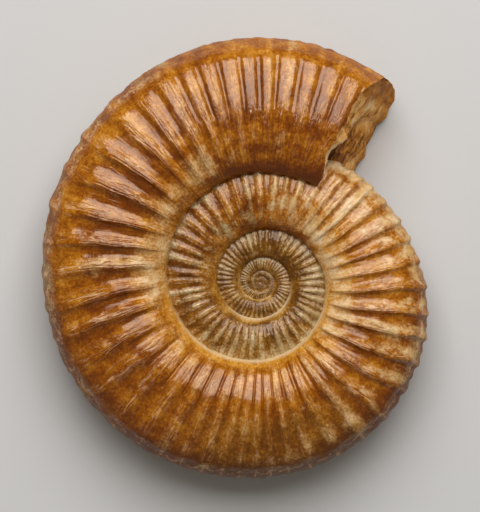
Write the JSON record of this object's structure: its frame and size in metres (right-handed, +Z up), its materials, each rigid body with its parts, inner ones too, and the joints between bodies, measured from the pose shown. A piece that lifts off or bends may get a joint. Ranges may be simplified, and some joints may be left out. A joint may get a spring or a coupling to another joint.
{
  "type": "ammonite fossil",
  "caption": "Ribbed planispiral ammonite in polished honey-coloured calcite, broken off at the mouth, lying on its flank.",
  "frame": {"origin": "centre of the bounding box's bottom face, on the surface that the fossil lies on", "axes": "+Z up, out of the flank that faces up; +Y along the longest extent, towards the side where the shell ends in its broken mouth; +X to the right, so that the mouth is at the upper right seen from above"},
  "size_m": [0.0892, 0.1014, 0.0261],
  "materials": {
    "calcite": "polished"
  },
  "bodies": {
    "root": {"ammonite": "calcite"}
  },
  "joints": []
}
